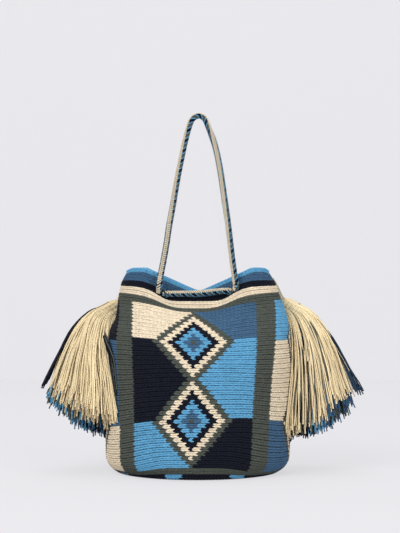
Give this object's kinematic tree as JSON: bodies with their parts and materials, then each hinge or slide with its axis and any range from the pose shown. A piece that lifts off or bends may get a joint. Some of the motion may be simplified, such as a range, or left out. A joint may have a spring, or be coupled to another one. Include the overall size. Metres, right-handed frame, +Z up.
{
  "type": "wayuu mochila bag",
  "caption": "Crocheted round shoulder bag with stepped diamond pattern, drawn mouth with braided drawstrings, braided handle loop and two side yarn tassels.",
  "frame": {"origin": "middle of the bag's base, on the surface it stands on", "axes": "+Z up, front of the bag towards -Y, +X to the viewer's right"},
  "size_m": [0.3479, 0.2056, 0.3926],
  "materials": {
    "crochet": "matte cotton crochet",
    "cream_yarn": "matte cotton yarn",
    "navy_yarn": "matte cotton yarn",
    "green_yarn": "matte cotton yarn",
    "light_blue_yarn": "matte cotton yarn",
    "mid_blue_yarn": "matte cotton yarn",
    "braid": "matte cotton braid"
  },
  "bodies": {
    "root": {"crochet_body": "crochet", "drawstring_front": "braid", "drawstring_back": "braid", "handle_cord": "braid", "handle_knot_left": "braid", "handle_knot_right": "braid", "tassel_binding_left": "cream_yarn", "tassel_binding_right": "cream_yarn", "tassel_left_cream": "cream_yarn", "tassel_left_navy": "navy_yarn", "tassel_left_green": "green_yarn", "tassel_left_light_blue": "light_blue_yarn", "tassel_left_mid_blue": "mid_blue_yarn", "tassel_right_cream": "cream_yarn", "tassel_right_navy": "navy_yarn", "tassel_right_green": "green_yarn", "tassel_right_light_blue": "light_blue_yarn", "tassel_right_mid_blue": "mid_blue_yarn"}
  },
  "joints": []
}
